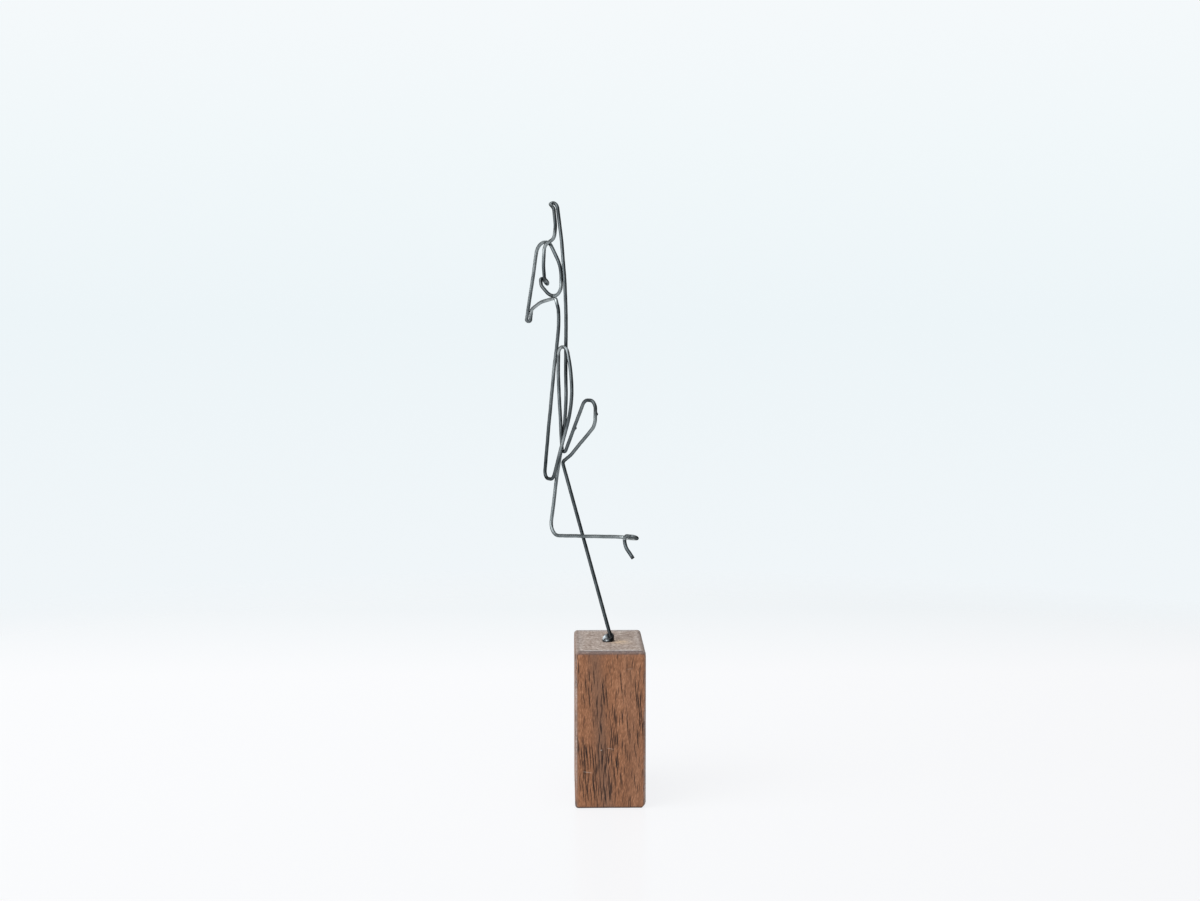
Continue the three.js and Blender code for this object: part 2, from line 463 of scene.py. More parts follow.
def oiled_hardwood():
    """Reddish-brown wood with dark open pores, slanting streaks and pale end grain.

    The sides' colour goes down a ramp by bands, streaks and fibres, then greys, and darkens on
    hairlines (the middles of long cells) and in pores. The top's colour is mottled, and its
    paleness is partly painted sheen from light grazing the top. Over both go a dark patchy band
    under the top edge, the worn arrises with a painted highlight where they catch the light, a
    painted shade line along the top's front edge, a painted contact shadow along the foot, and
    the scratches."""
    recipe = Recipe("oiled_hardwood", Specular_IOR_Level=0.28)
    pore, end, worn, edge, smear, crowd, greyness, crease, foot = (
        recipe.attribute(label) for label in
        ("pore", "end_grain", "worn", "edge", "smear", "crowd", "greyness", "crease", "foot")
    )
    band = recipe.noise(recipe.placed(WOOD_BANDS, GRAIN_LEAN), 3, 0.5)
    streak = recipe.noise(recipe.placed(WOOD_STREAKS, GRAIN_LEAN), 4, 0.7)
    fibre = recipe.noise(recipe.placed(WOOD_FIBRES, GRAIN_LEAN), 3, 0.6)
    mottle = recipe.noise(recipe.placed(END_MOTTLE), 4, 0.7)
    ring = recipe.noise(recipe.placed(END_RINGS), 3, 0.6)
    cells = recipe.node("ShaderNodeTexVoronoi", None, {
        "Vector": recipe.placed(WOOD_VESSELS, GRAIN_LEAN), "Scale": 1.0}, output="Distance")
    hairline = ((0.18 + crowd * 0.14 - cells) * 18.0).clamped()

    side = recipe.ramp(band * 0.26 + streak * 0.16 + fibre * 0.58, [
        (0.37, (0.125, 0.050, 0.023)),
        (0.46, (0.210, 0.088, 0.041)),
        (0.54, (0.285, 0.122, 0.057)),
        (0.61, (0.450, 0.215, 0.115)),
    ])
    side = recipe.mix((greyness * (0.4 + streak)).clamped(), side, (0.150, 0.086, 0.059))
    side = recipe.mix(hairline * 0.9, side, (0.036, 0.015, 0.009))
    side = recipe.mix((pore * 2.2).clamped(), side, (0.010, 0.005, 0.004))
    # The top's colour: pale end grain, the paleness partly painted sheen from light grazing the
    # top.
    top = recipe.ramp(mottle * 0.6 + ring * 0.4, [
        (0.36, (0.150, 0.107, 0.085)),
        (0.50, (0.325, 0.258, 0.220)),
        (0.63, (0.560, 0.495, 0.450)),
    ])
    top = recipe.mix((smear * (mottle * 5.0 - 1.7)).clamped(), top, (0.53, 0.40, 0.28))
    colour = recipe.mix(end, side, top)
    for amount, over in (
        # dark patchy band on the sides just under the top edge
        (edge * (mottle * 3.0 - 0.7), (0.115, 0.074, 0.066)),
        # pale wear, with a painted highlight where the rounded corners and the top's rim catch the
        # light
        (worn * (mottle * 3.6 - 1.0), (0.50, 0.49, 0.49)),
        # painted shade line along the top's front edge
        (crease * (mottle * 2.4 - 0.4), (0.085, 0.072, 0.075)),
        # painted contact shadow along the block's foot
        (foot, (0.020, 0.011, 0.008)),
    ):
        colour = recipe.mix(amount.clamped(), colour, over)
    marks = 0.0
    for *line, strength in SCRATCHES:
        marks = marks + scratch(recipe, *line) * strength
    recipe.to_shader(
        Base_Color=recipe.mix(marks.clamped(), colour, (0.62, 0.52, 0.43)),
        Roughness=0.55 + end * 0.1 - streak * 0.12 + pore * 0.2,
        Normal=recipe.bump(
            fibre * (1.0 - end) + mottle * end, 0.05 * MM, 0.7,
            under=recipe.bump(streak, 0.06 * MM, 0.5),
        ),
    )
    return recipe.material


def hard_glue():
    """A hardened drop, nearly black beside the wire, with painted highlights in pale patches."""
    recipe = Recipe("hard_glue", Roughness=0.22, IOR=1.30)
    ripple = recipe.noise(recipe.placed(GLUE_RIPPLES), 3, 0.6)
    # painted highlights, broken up by the ripples
    bloom = (recipe.attribute("bloom") * (ripple * 6.0 - 2.2)).clamped()
    recipe.to_shader(
        Base_Color=recipe.mix(bloom, (0.004, 0.005, 0.006), (0.66, 0.75, 0.80)),
        Normal=recipe.bump(ripple, 0.06 * MM, 0.7),
    )
    return recipe.material


# ---- the wire ------------------------------------------------------------------------------

STRAIGHT_STEP = 0.22 * MM
ARC_STEP = math.radians(9)
WIRE_SIDES = 24

WANDER = 0.07 * MM                    # how far the centreline strays to the side and up
SIDE_PERIODS = np.array([47, 29, 17, 11]) * MM
UP_PERIODS = np.array([53, 31, 19, 9]) * MM
LEG_SETTLES, TOE_SETTLES = 6 * MM, 4 * MM     # the wander fades over these lengths

SQUEEZE = 0.06                        # of the radius, in the tightest bends
SQUEEZED_BELOW = 3 * MM               # bends of a smaller radius are squeezed
GRIPPED_BELOW = 3.3 * MM              # bends of a smaller radius were gripped beside them
GRIP_FROM_BEND = 0.9 * MM
TOOTH_PLACES = np.array([-0.42, 0, 0.42]) * MM
TOOTH_WIDTH = 0.13 * MM
TOOTH_DEPTHS = (0.012, 0.042)         # in millimetres
RUB_WIDTH = 1.1 * MM

LONG_UNEVEN, ROUND_UNEVEN = 0.005 * MM, 0.006 * MM
UNEVEN_PERIODS = np.array([3.1, 5.7, 8.9]) * MM
BURR_WIDTH = 0.36 * MM
NIP_LENGTH, NIP_SHARE = 0.9 * MM, 0.72
CUT_LENGTH = 0.7 * MM
LEG_SHADE_UP, LEG_SHADE_SPREAD, LEG_SHADE = 1.6, 1.3, 0.85   # painted shade above the glue: millimetres, millimetres, share
# The slow wander of the wire's brightness, painted highlight and shade included.
SCALE_AND_LIGHT_PERIODS = np.array([13, 8, 5]) * MM


def bent_line(bends):
    """The centreline of straight runs joined by round bends, and how it is bent.

    A bend touches both runs at a distance radius * tan(turn / 2) from its corner. Its points
    are start + into * r sin a + inward * r (1 - cos a). The side direction turns with each
    bend about the bend's axis, so the section never twists. Gives the points, headings, side
    directions, bend axes, and at each station the bend's radius (0 on straight runs) and how
    far along the list of bends it is."""
    corners = place(bends)
    radii = np.array([bend[3] for bend in bends]) * MM
    headings = unit(np.diff(corners, axis=0))
    turns = np.arccos(np.clip(np.sum(headings[:-1] * headings[1:], axis=1), -1, 1))
    cuts = np.concatenate([[0], radii[1:-1] * np.tan(turns / 2), [0]])
    side = unit(np.cross(headings[0], (0, 1, 0)))
    parts = []
    for i, heading in enumerate(headings):
        start = corners[i] + heading * cuts[i]
        end = corners[i + 1] - heading * cuts[i + 1]
        count = max(2, math.ceil(np.linalg.norm(end - start) / STRAIGHT_STEP))
        share = np.linspace(0, 1, count, endpoint=False)[:, None]
        parts.append((start + (end - start) * share, heading, side, side, 0.0, i + share[:, 0]))
        if i == len(turns):
            parts.append((end[None], heading, side, side, 0.0, np.array([i + 1.0])))
            break
        turn, radius, onward = turns[i], radii[i + 1], headings[i + 1]
        inward = unit(onward - heading * (heading @ onward))
        axis = np.cross(heading, inward)
        count = max(2, math.ceil(max(turn / ARC_STEP, radius * turn / STRAIGHT_STEP)))
        angles = turn * np.arange(count) / count
        ahead, inwards = np.sin(angles)[:, None], (1 - np.cos(angles))[:, None]
        points = end + heading * radius * ahead + inward * radius * inwards
        parts.append((points, turned(heading, axis, angles), turned(side, axis, angles),
                      axis, radius, np.full(count, i + 1.0)))
        side = turned(side, axis, np.array([turn]))[0]
    points, heading, side, axis = (
        np.concatenate([np.broadcast_to(part[k], part[0].shape) for part in parts])
        for k in range(4)
    )
    radius = np.concatenate([np.full(len(part[0]), part[4]) for part in parts])
    return points, heading, side, axis, radius, np.concatenate([part[5] for part in parts])


def plier_marks(s, radius, angle):
    """Where pliers gripped the wire beside each tight bend, as two (stations, sides) arrays.

    The first is the depth of the dents, three narrow teeth to a grip, and the second how rubbed
    the skin is. Each is a sum over the grips of exp(-(distance along / width)^2) times a power
    of the cosine of the angle from the jaw."""
    bent = radius > 0
    starts = np.flatnonzero(bent[1:] & ~bent[:-1] & (radius[1:] < GRIPPED_BELOW)) + 1
    ends = np.flatnonzero(bent[:-1] & ~bent[1:] & (radius[:-1] < GRIPPED_BELOW)) + 1
    grips = np.concatenate([s[starts] - GRIP_FROM_BEND, s[ends] + GRIP_FROM_BEND])
    teeth = (grips[:, None] + TOOTH_PLACES).ravel()
    jaws = RNG.uniform(0, math.pi, len(grips))
    depth = RNG.uniform(*TOOTH_DEPTHS, len(teeth)) * MM
    pressed = np.cos(angle[:, None] - jaws)
    bites = np.exp(-((s[:, None] - teeth) / TOOTH_WIDTH) ** 2) * depth
    dents = bites @ np.repeat(pressed ** 8, len(TOOTH_PLACES), axis=1).T
    rubs = np.exp(-((s[:, None] - grips) / RUB_WIDTH) ** 2)
    return dents, np.clip(rubs @ (pressed ** 4).T, 0, 1)


def bird_line():
    """The whole wire: a round section carried along the bent line.

    The radius at distance s along the wire and angle a round it is
        R (1 + squeeze (1 - 2 k^2)) - dents + unevenness + burrs,
    where k is the cosine of the angle between the direction a and the bend's axis. The
    centreline wanders by under a tenth of a millimetre, as hand-straightened wire does, except
    on the standing leg. The first end was nipped off: it narrows to a ridge. The skin's
    brightness is read off the list given for each bend: partly its scale, and partly painted
    highlight and shade for how each strand faces the light. It is black at the nipped end and
    on the burrs, and painted shade darkens the leg just above the glue."""
    points, heading, side, axis, radius, bend = bent_line(BIRD)
    s = np.concatenate([[0], np.cumsum(np.linalg.norm(np.diff(points, axis=0), axis=1))])
    up = np.cross(heading, side)
    leg_start = s[-1] - (LEG_TOP + LEG_SUNK) * MM * math.hypot(1, LEG_SLANT)
    free = smooth((leg_start - s) / LEG_SETTLES) * smooth(s / TOE_SETTLES) * WANDER
    points = points + side * (waves(s, SIDE_PERIODS, 3) * free)[:, None]
    points = points + up * (waves(s, UP_PERIODS, 5) * free)[:, None]

    angle = np.arange(WIRE_SIDES) * 2 * math.pi / WIRE_SIDES
    ring = side[:, None] * np.cos(angle)[:, None] + up[:, None] * np.sin(angle)[:, None]
    tight = np.where(radius > 0, np.clip(1 - radius / SQUEEZED_BELOW, 0, 1), 0)
    blur = np.hanning(9)
    tight = np.convolve(tight, blur / blur.sum(), "same")
    from_axis = np.einsum("nak,nk->na", ring, axis)
    dents, rubbed = plier_marks(s, radius, angle)
    section = WIRE_RADIUS * (1 + SQUEEZE * tight[:, None] * (1 - 2 * from_axis ** 2)) - dents
    section += LONG_UNEVEN * waves(s, UNEVEN_PERIODS, 7)[:, None]
    section += ROUND_UNEVEN * np.sin(3 * angle + 2 * s[:, None] / MM)
    surface = points[:, None] + ring * section[..., None]

    cut = np.zeros(section.shape)
    for where, height in BURRS:
        away = (s - s[np.argmin(np.abs(bend - where))]) / BURR_WIDTH
        swell = np.exp(-away ** 2)[:, None] * np.clip(ring[..., 0], 0, 1) ** 3
        surface += ring * (height * MM * swell)[..., None]
        cut = np.maximum(cut, np.clip(swell * 1.4, 0, 1))
    nip = NIP_SHARE * (1 - smooth(s / NIP_LENGTH))
    surface -= up[:, None] * (np.sin(angle) * section * nip[:, None])[..., None]
    cut = np.maximum(cut, (1 - smooth(s / CUT_LENGTH))[:, None])
    # Painted shade on the standing leg just above the glue.
    above_block = (points[:, 2] - BLOCK_TOP) / MM
    cut = np.maximum(cut, LEG_SHADE * np.exp(-((above_block - LEG_SHADE_UP) / LEG_SHADE_SPREAD) ** 2)[:, None])

    # Brightness per bend: the scale's patches, and painted highlight and shade for how each strand
    # faces the light.
    sheen = np.interp(bend, np.arange(len(SCALE_AND_PAINTED_LIGHT)), SCALE_AND_PAINTED_LIGHT)
    sheen = np.clip(sheen + 0.10 * waves(s, SCALE_AND_LIGHT_PERIODS, 51), 0, 1)
    skin = np.stack(np.broadcast_arrays(
        WIRE_RADIUS * np.cos(angle), WIRE_RADIUS * np.sin(angle), s[:, None]), axis=-1)

    stations = len(s)
    first = np.arange(WIRE_SIDES)
    middle = stations * WIRE_SIDES
    triangles = np.concatenate([
        fan_faces(first, middle, False),
        fan_faces(middle - WIRE_SIDES + first, middle + 1, True),
    ])
    attributes = {
        "skin_space": np.concatenate([skin.reshape(-1, 3), [(0, 0, s[0]), (0, 0, s[-1])]]),
        "rubbed": np.concatenate([rubbed.ravel(), (0, 0)]),
        "cut": np.concatenate([cut.ravel(), (1, 1)]),
        "sheen": np.concatenate([np.repeat(sheen, WIRE_SIDES), (0, 0)]),
    }
    vertices = np.concatenate([surface.reshape(-1, 3), points[[0, -1]]])
    return new_piece("bird_line", vertices, grid_faces(stations, WIRE_SIDES), triangles,
                     attributes, annealed_steel())


# ---- the block -----------------------------------------------------------------------------

BLOCK_COLUMNS = 1130
SIDE_ROWS = 46
EDGE_ROWS = 9                         # in each of the two rounded edges
CAP_RINGS = 20
UNDER_RINGS = 4
UPRIGHT_EDGE = 1.0 * MM
TOP_EDGE = 0.95 * MM
BOTTOM_EDGE = 0.8 * MM
LEG_HOLE = 0.62 * MM
CORNER_CUT, CORNER_REACH = 0.95 * MM, 1.2 * MM    # the knocked-off corner
CORNER_PLANE = (1.0, -0.25, -1.0)

PORE_DEPTH = 0.07 * MM
EDGE_DIPS, TOP_DIPS_OVER, FOOT_DIPS_OVER = 0.09 * MM, 1.3 * MM, 1.0 * MM
END_ROUGHNESS = 0.02 * MM
GRAIN_SLOPE = 0.08                    # how far the grain leans for each millimetre up
FRONT_REACH = 19 * MM                 # along the outline, from front left to front right edge
SMEAR_FROM_LEG = np.array([2.3, -1.2, 0]) * MM
SMEAR_SIZE = np.array([2.4, 3.2, 0.6]) * MM

SCATTERED_PORES = 4200                # before most are left out
PORE_BATCHES = 40
LONG_PORE_WIDTH, LONG_PORE_DEPTH = 0.08 * MM, 0.85


def rounded_rectangle(width, depth, radius, columns):
    """Points evenly round a rectangle with round corners, and their outward directions.

    The outward direction's angle is constant along a side and grows evenly round a corner, and
    a point is its corner's centre + radius * outward. It starts at the front left corner and
    goes by the front face first."""
    half_x, half_y = width / 2 - radius, depth / 2 - radius
    quarter = radius * math.pi / 2
    lengths = np.array([2 * half_x, quarter, 2 * half_y, quarter] * 2)
    knots = np.concatenate([[0], np.cumsum(lengths)])
    turns = np.repeat(np.arange(-1, 4), 2)[:9] * math.pi / 2
    centre_x = np.array([-1, 1, 1, 1, 1, -1, -1, -1, -1]) * half_x
    centre_y = np.array([-1, -1, -1, 1, 1, 1, 1, -1, -1]) * half_y
    along = np.arange(columns) * knots[-1] / columns
    angle = np.interp(along, knots, turns)
    outward = np.stack([np.cos(angle), np.sin(angle)], axis=1)
    centres = np.stack([np.interp(along, knots, centre_x), np.interp(along, knots, centre_y)], 1)
    return centres + outward * radius, outward, along, knots[-1]


# Where pores crowd on the front face: (along from the left, up, spread along, spread up, share),
# in millimetres.
PORE_CROWDS = [
    (3.5, 12, 3.0, 9, 1.3),
    (8.5, 15, 2.6, 9, 1.2),
    (6.0, 31, 4.5, 6, 0.6),
    (9.5, 6, 2.5, 4, 0.9),
    (17.6, 29, 1.2, 9, 1.3),
    (12.8, 20, 3.0, 12, 0.35),
]


# Long pores that stand out on the front face: (along from the left, up, half length).
LONG_PORES = [
    (0.9, 15.0, 3.0), (1.7, 13.5, 3.8), (2.5, 14.5, 3.6), (3.3, 15.2, 3.0), (4.1, 14.0, 4.2),
    (4.9, 13.0, 3.3), (5.7, 15.0, 3.6), (6.6, 16.0, 2.8), (1.3, 5.0, 2.6), (2.6, 4.4, 2.2),
    (4.4, 5.2, 3.0), (6.3, 5.6, 3.2), (7.4, 4.2, 2.4), (8.6, 5.4, 3.0), (10.2, 9.5, 3.4),
    (9.3, 14.5, 3.0), (8.2, 15.5, 2.6), (7.6, 11.0, 2.2), (10.9, 12.0, 2.6), (3.0, 32.0, 3.0),
    (5.2, 29.0, 2.6), (7.0, 33.0, 3.2), (8.0, 31.5, 2.8), (10.4, 26.0, 3.0), (12.0, 36.0, 3.2),
    (13.8, 24.0, 2.6), (16.2, 33.0, 4.2), (17.1, 28.0, 5.4), (17.9, 25.0, 4.6), (16.7, 20.0, 2.6),
]


def crowding(along_mm, up_mm):
    """How closely pores stand on the front face: a sum of share * exp(-(dx / a)^2 - (dz / b)^2)."""
    crowd = 0
    for along_at, up_at, along_by, up_by, share in PORE_CROWDS:
        crowd = crowd + share * np.exp(-((along_mm - along_at) / along_by) ** 2
                                       - ((up_mm - up_at) / up_by) ** 2)
    return crowd


def pore_field(along, heights, around):
    """How deep in a pore each point of the sides is, from 0 to 1, as a (rows, columns) array.

    A pore is a short groove that leans with the grain: exp(-(across / width)^2) times a
    flat-topped fall-off exp(-(up / half length)^6). Most are scattered, more of them where they
    crowd, and the long ones have places of their own. The deepest pore at a point counts."""
    where = RNG.uniform(0, around, SCATTERED_PORES)
    height = RNG.uniform(0, heights.max(), SCATTERED_PORES)
    crowd = (0.5 + 0.5 * waves(where, (around / 5, around / 13), 11)) * (where > FRONT_REACH)
    crowd = crowd + crowding(where / MM, height / MM)
    keep = RNG.uniform(0, 1, SCATTERED_PORES) < 0.05 + 0.22 * crowd
    where, height = where[keep], height[keep]
    width = RNG.uniform(0.055, 0.085, len(where)) * MM
    half = RNG.uniform(0.8, 2.6, len(where)) * MM
    depth = RNG.uniform(0.3, 1.0, len(where))
    long_where, long_height, long_half = np.array(LONG_PORES).T * MM
    where = np.concatenate([where, long_where])
    height = np.concatenate([height, long_height])
    half = np.concatenate([half, long_half])
    width = np.concatenate([width, np.full(len(long_where), LONG_PORE_WIDTH)])
    depth = np.concatenate([depth, np.full(len(long_where), LONG_PORE_DEPTH)])
    field = np.zeros((len(heights), len(along)))
    for batch in np.array_split(np.arange(len(where)), PORE_BATCHES):
        rise = heights[:, None] - height[batch]
        run = (along[:, None] - where[batch] + around / 2) % around - around / 2
        across = run[None] + GRAIN_SLOPE * rise[:, None]
        groove = np.exp(-(across / width[batch]) ** 2)
        groove *= np.exp(-(rise / half[batch]) ** 6)[:, None]
        field = np.maximum(field, (groove * depth[batch]).max(axis=-1))
    return field


def block_profile():
    """How far the outline is drawn in, and how high it is, at each row of the sides."""
    quarter = np.linspace(0, math.pi / 2, EDGE_ROWS)
    side_up = np.linspace(BOTTOM_EDGE, BLOCK_TOP - TOP_EDGE, SIDE_ROWS)[1:-1]
    inset = np.concatenate([
        BOTTOM_EDGE * (1 - np.sin(quarter)), 0 * side_up, TOP_EDGE * (1 - np.cos(quarter)),
    ])
    height = np.concatenate([
        BOTTOM_EDGE * (1 - np.cos(quarter)), side_up, BLOCK_TOP - TOP_EDGE * (1 - np.sin(quarter)),
    ])
    return inset, height


def block_marks(along, outward, around, height, pore, uneven, rim):
    """What the wood's look reads at each vertex but the last two, ring by ring, from 0 to 1.

    Each mark has its own value on the rows of the sides, on the top's rings, underneath and
    in the bore. rim is how far each point of the top is from the top's edge."""
    along_mm, up_mm = along[None] / MM, height[:, None] / MM
    below_top = (height[:, None] - BLOCK_TOP)
    on_front = along[None] < FRONT_REACH
    facing = np.abs(outward[:, 1])
    # how strong the painted shade line at the top's edge is: most on the front
    edge_shade_share = 0.1 + 0.7 * np.clip(-outward[:, 1], 0, 1) * (
        0.6 + 0.4 * waves(along, (3.1 * MM, 1.7 * MM), 71))
    grain_at = along_mm + GRAIN_SLOPE * (up_mm - 22)
    grey_front = (0.6 * np.exp(-((grain_at - 6.2) / 2.0) ** 2)
                  + 0.24 * np.exp(-((grain_at - 15.5) / 3.5) ** 2))
    grey_elsewhere = 0.4 + 0.4 * waves(grain_at, (9, 23, 5), 61)
    on_corner = np.interp(along, *corner_wear_and_highlight(around))

    def by_ring(sides, top=0.0, caps=0.0):
        """The rings from underneath to the bore: caps is the value underneath and in the bore."""
        return np.concatenate([
            np.full((UNDER_RINGS, BLOCK_COLUMNS), caps),
            np.broadcast_to(sides, pore.shape),
            np.broadcast_to(top, rim.shape),
            np.full((1, BLOCK_COLUMNS), caps),
        ])

    return {
        "pore": by_ring(pore),
        "end_grain": by_ring(smooth((below_top + TOP_EDGE * 0.75) / (TOP_EDGE * 0.45)), 1, 1),
        "edge": by_ring(
            smooth((below_top + TOP_EDGE * 1.1) / (TOP_EDGE * 0.4)) * (0.35 + 0.65 * facing)),
        # wear on the upright corners and round the top's rim, with a painted highlight where they
        # catch the light
        "worn": by_ring(
            on_corner * 0.5 * (0.5 + 0.5 * uneven),
            np.exp(-((rim - 0.3 * MM) / (1.3 * MM)) ** 2) * (0.2 + 0.8 * facing)),
        # painted contact shadow along the bottom of the sides
        "foot": by_ring(0.85 * (1 - smooth((up_mm - 0.2) / 0.6))),
        "greyness": by_ring(np.where(on_front, grey_front, grey_elsewhere)),
        # painted shade line at the top's edge, mostly at the front
        "crease": by_ring(
            smooth((below_top + 0.12 * MM) / (0.1 * MM)) * edge_shade_share,
            np.exp(-(rim / (0.22 * MM)) ** 2) * edge_shade_share),
        "crowd": by_ring(np.where(on_front, 0.3 + crowding(along_mm, up_mm), 0.7)),
    }


def corner_wear_and_highlight(around):
    """Knots round the outline, and the wear with its painted highlight at each: 1 across the
    middle of an upright edge.
    """
    width, depth = BLOCK_SIZE[:2] - 2 * UPRIGHT_EDGE
    quarter = UPRIGHT_EDGE * math.pi / 2
    middles = quarter / 2 + np.cumsum([width, quarter + depth, quarter + width, quarter + depth])
    steps = np.array([-0.5, -0.15, 0.15, 0.5]) * MM
    knots = np.concatenate([[0], (middles[:, None] + steps).ravel(), [around]])
    return knots, np.concatenate([[0], np.tile([0, 1, 1, 0], 4), [0]])


def oiled_block():
    """The block: a rounded rectangle carried up a rounded profile, and closed by flat caps.

    Each row of the profile gives how far the outline is drawn in and how high it is. The top's
    rings blend from the outline to a ring round the leg's hole, the hole's bottom slants away
    with the leg, and the underside's rings shrink to its middle. Pores are grooves in the
    sides, the edges are a little uneven, and the front right bottom corner is knocked off:
    points beyond a slanting plane move back onto it."""
    outline, outward, along, around = rounded_rectangle(
        BLOCK_SIZE[0], BLOCK_SIZE[1], UPRIGHT_EDGE, BLOCK_COLUMNS)
    inset, height = block_profile()
    pore = pore_field(along, height, around)
    uneven = waves(along[None] + 0.3 * height[:, None], (around / 7, around / 19, around / 31), 21)
    on_edge = np.exp(-((height - BLOCK_TOP) / TOP_DIPS_OVER) ** 2)
    on_edge += np.exp(-(height / FOOT_DIPS_OVER) ** 2)
    draw_in = inset[:, None] + PORE_DEPTH * pore
    draw_in += EDGE_DIPS * on_edge[:, None] * (0.5 + 0.5 * uneven)
    flat = outline[None] - outward[None] * draw_in[..., None]
    sides = np.concatenate([flat, np.broadcast_to(height[:, None, None], (*pore.shape, 1))], -1)

    hole_centre = place([leg_bend(0, 0)])[0]
    to_hole = np.arctan2(outline[:, 1] - hole_centre[1], outline[:, 0] - hole_centre[0])
    hole = hole_centre + LEG_HOLE * np.stack(
        [np.cos(to_hole), np.sin(to_hole), np.zeros(BLOCK_COLUMNS)], axis=1)
    share = 1 - np.linspace(0, 1, CAP_RINGS + 1)[1:, None, None] ** 0.9
    top = hole * (1 - share) + sides[-1] * share
    grain = (waves(top[..., 0], (2.3 * MM, 1.1 * MM, 0.7 * MM), 31)
             * waves(top[..., 1], (3.7 * MM, 1.9 * MM), 32))
    top[..., 2] = BLOCK_TOP - END_ROUGHNESS * (0.5 + 0.5 * grain) * np.minimum(1, 6 * share[..., 0])
    rim = np.linalg.norm(top[..., :2] - flat[-1], axis=-1)
    sink = place([leg_bend(-LEG_SUNK, 0)])[0] - hole_centre
    under = np.concatenate([outline - outward * BOTTOM_EDGE, np.zeros((BLOCK_COLUMNS, 1))], 1)
    under = under * np.linspace(0.2, 0.8, UNDER_RINGS)[:, None, None]

    surface = np.concatenate([under, sides, top, (hole + sink)[None]])
    rings = len(surface)
    points = surface.reshape(-1, 3)
    corner = np.array([block_high[0], block_low[1], block_low[2]])
    plane = unit(np.array(CORNER_PLANE))
    beyond = (points - corner) @ plane + CORNER_CUT
    points = points - np.maximum(beyond, 0)[:, None] * plane * (beyond < CORNER_REACH)[:, None]

    marks = block_marks(along, outward, around, height, pore, uneven, rim)
    marks["smear"] = np.exp(
        -np.sum(((points - hole_centre - SMEAR_FROM_LEG) / SMEAR_SIZE) ** 2, axis=1))
    first = np.arange(BLOCK_COLUMNS)
    triangles = np.concatenate([
        fan_faces(first, len(points), False),
        fan_faces(len(points) - BLOCK_COLUMNS + first, len(points) + 1, True),
    ])
    vertices = np.concatenate([points, [(0, 0, 0), hole_centre + sink]])
    attributes = {label: np.concatenate([mark.ravel(), (0, 0)]) for label, mark in marks.items()}
    return new_piece("oiled_block", vertices, grid_faces(rings, BLOCK_COLUMNS), triangles,
                     attributes, oiled_hardwood())


# ---- the glue ------------------------------------------------------------------------------


GLUE_COLUMNS, GLUE_RINGS = 72, 24
GLUE_LIP = 0.05 * MM                  # how far the drop's foot reaches into the wood

# Painted highlights: (strength, angle round the leg, its spread, share of the way up, its spread).
PAINTED_GLINTS = [
    (1.2, 3.4, 0.55, 0.50, 0.24),
    (1.0, 0.2, 0.40, 0.60, 0.20),
    (0.7, 4.4, 0.25, 0.20, 0.12),
]


def set_glue():
    """The drop round the leg: a dome whose foot wanders and whose crown climbs the wire.

    At share t from foot to crown and angle a round the leg, the height is
    climb(a) * sin(t quarter turn)^0.9, and the point lies between the leg and the foot's
    outline foot(a), at the share cos(t quarter turn)^0.8 of the way out."""
    angle = np.arange(GLUE_COLUMNS) * 2 * math.pi / GLUE_COLUMNS
    outward = np.stack([np.cos(angle), np.sin(angle)], 1)
    t = np.linspace(0, 1, GLUE_RINGS)[:, None]
    middle = (bead_low + bead_high) / 2
    reach = (bead_high[0] - bead_low[0]) / 2 * 0.97
    foot = reach * (1 + 0.08 * np.sin(angle + 2.4) + 0.06 * np.sin(2 * angle + 0.7)
                    + 0.03 * np.sin(5 * angle) - 0.16 * np.clip(np.cos(angle), 0, 1))
    climb = (bead_high[2] - BLOCK_TOP) * (1 + 0.10 * np.cos(angle - 0.4)
                                          - 0.35 * np.clip(-np.sin(angle), 0, 1))
    height = climb * np.sin(t * math.pi / 2) ** 0.9
    swell = np.cos(t * math.pi / 2)[..., None] ** 0.8
    leg, leg_above = place([leg_bend(0, 0), leg_bend(1, 0)])
    up_leg = leg_above - leg
    on_leg = leg[:2] + height[..., None] / up_leg[2] * up_leg[:2]
    base = middle[:2] + foot[:, None] * outward
    flat = (on_leg + WIRE_RADIUS * 0.9 * outward) * (1 - swell) + base * swell
    dome = np.concatenate([flat, BLOCK_TOP + height[..., None]], -1)
    surface = np.concatenate([dome[:1] - np.array([0, 0, GLUE_LIP]), dome]).reshape(-1, 3)
    count = len(surface)
    crown = (*on_leg[-1, 0], dome[-1, :, 2].mean())
    first = np.arange(GLUE_COLUMNS)
    triangles = np.concatenate([
        fan_faces(first, count, False),
        fan_faces(count - GLUE_COLUMNS + first, count + 1, True),
    ])
    # painted highlights on the drop, in patches round the leg
    bloom = sum(
        strength * np.exp(-((angle - turn) / turn_by) ** 2) * np.exp(-((t - up) / up_by) ** 2)
        for strength, turn, turn_by, up, up_by in PAINTED_GLINTS
    )
    return new_piece(
        "set_glue",
        np.concatenate([surface, [(*middle[:2], BLOCK_TOP - GLUE_LIP), crown]]),
        grid_faces(GLUE_RINGS + 1, GLUE_COLUMNS), triangles,
        {"bloom": np.concatenate([bloom[0], bloom.ravel(), (0, 0)])}, hard_glue())


# ---- the pieces and what they stand for ------------------------------------------------------

for made, node, slot in (
    (bird_line(), "bird_wire", "wire"),
    (oiled_block(), "wooden_block", "wood"),
    (set_glue(), "glue_bead", "glue"),
):
    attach(made, "root")
    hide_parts(node)

# ---- the studio ------------------------------------------------------------------------------

FLOOR_WHITE = (0.965, 0.973, 0.991)
WALL_WHITE = (0.880, 0.922, 0.947)
FAR_WHITE = (0.868, 0.908, 0.932)

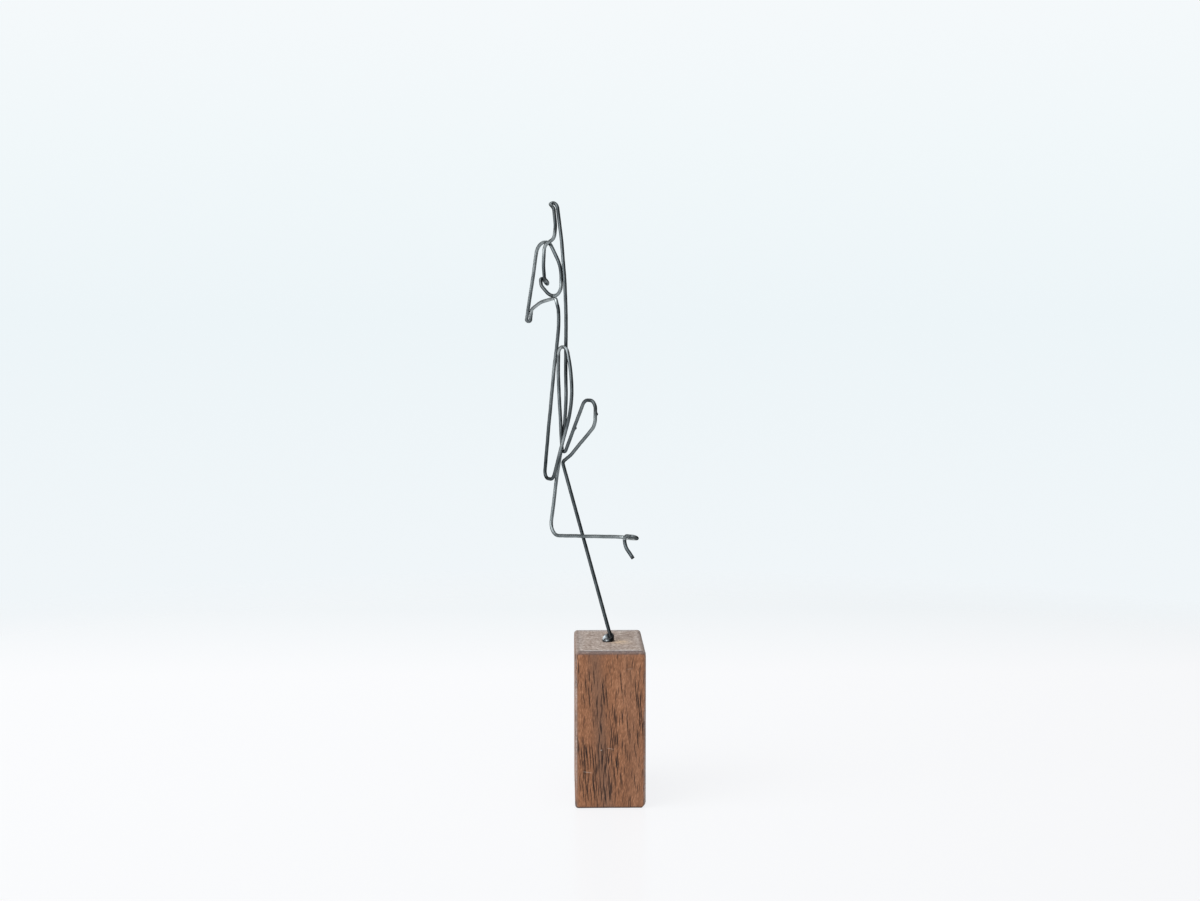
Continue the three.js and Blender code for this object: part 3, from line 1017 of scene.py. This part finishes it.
TABLE_RADIUS, TABLE_FADE, TABLE_SIDES = 0.45, 0.09, 128
FIGURE_HEART = (-0.005, 0, 0.1)
CAMERA_SPOT = (-0.01355, -0.4988, 0.1387)
CAMERA_DIP, CAMERA_PAN = math.radians(4.4), math.radians(-1.26)
SENSOR_WIDTH, LENS = 36, 52.02        # in millimetres


def white_table():
    """A flat round of bright paper, dimmer from 0.17 m back, that fades out at its rim."""
    recipe = Recipe("white_paper", Base_Color=(0.10, 0.10, 0.10, 1), Roughness=0.20, IOR=1.115,
                    Emission_Strength=0.835)
    x, y, _ = recipe.split(recipe.coordinates())
    back = ((y - 0.17) / 0.15).clamped()
    from_middle = (x * x + y * y) ** 0.5
    recipe.to_shader(
        Emission_Color=recipe.mix(back, FLOOR_WHITE, FAR_WHITE),
        Alpha=((TABLE_RADIUS - from_middle) / TABLE_FADE).clamped(),
    )
    angle = np.arange(TABLE_SIDES) * 2 * math.pi / TABLE_SIDES
    rim = np.stack([np.cos(angle), np.sin(angle), 0 * angle], 1) * TABLE_RADIUS
    vertices = np.concatenate([rim, [(0, 0, 0)]])
    triangles = fan_faces(np.arange(TABLE_SIDES), TABLE_SIDES, True)
    table = new_piece("paper_round", vertices, np.zeros((0, 4), int), triangles, {},
                      recipe.material)


def soft_light(name, power, size, spot):
    """A square area light at a place, turned to face the figure, in watts and metres."""
    data = bpy.data.lights.new(name, "AREA")
    data.energy, data.size = power, size
    lamp = bpy.data.objects.new(name, data)
    bpy.context.scene.collection.objects.link(lamp)
    lamp.location = spot
    x, y, z = np.array(FIGURE_HEART) - np.array(spot)
    pan = math.atan2(y, x) - math.pi / 2
    tilt = math.pi / 2 + math.atan2(z, math.hypot(x, y))
    lamp.rotation_euler = Euler((tilt, 0, pan))


def room_light():
    """The room: pale paper behind, seen directly, and a tent of light that is dim at its sides.

    The tent's strength towards a direction is 0.08 + 0.74 (1 - x^2)^3 (1 - x / 2), and up to
    0.6 of its second part is lost towards the back."""
    world = bpy.data.worlds.new("room")
    world.use_nodes = True
    room = Nodes(world.node_tree)
    x, y, z = room.split(room.coordinates("Generated"))
    paper = room.ramp(z * 1.25 + 0.5, [
        (0.28, WALL_WHITE),
        (0.50, (0.848, 0.912, 0.940)),
        (0.62, (0.880, 0.935, 0.955)),
        (0.72, (0.913, 0.947, 0.965)),
    ])
    tent = (1.0 - x * x) ** 3.0 * (1.0 - x * 0.5) * (1.0 - y.clamped() * 0.6) * 0.74 + 0.08
    lit = room.node("ShaderNodeCombineColor", None, {0: tent, 1: tent, 2: tent})
    seen = room.node("ShaderNodeLightPath", output="Is Camera Ray")
    room.feed(room.tree.nodes["Background"].inputs["Color"], room.mix(seen, lit, paper))
    bpy.context.scene.world = world


def camera():
    """A long lens, a little above the bird's head and looking slightly down."""
    data = bpy.data.cameras.new("camera")
    data.sensor_width, data.lens = SENSOR_WIDTH, LENS
    view = bpy.data.objects.new("camera", data)
    bpy.context.scene.collection.objects.link(view)
    view.location = CAMERA_SPOT
    view.rotation_euler = Euler((math.pi / 2 - CAMERA_DIP, 0, CAMERA_PAN))
    bpy.context.scene.camera = view


white_table()
room_light()
camera()
soft_light("left_box", 10.0, 0.9, (-0.75, -0.40, 0.50))
soft_light("over_box", 4.4, 0.9, (-0.1, -0.15, 0.95))
bpy.context.scene.view_settings.view_transform = "Standard"
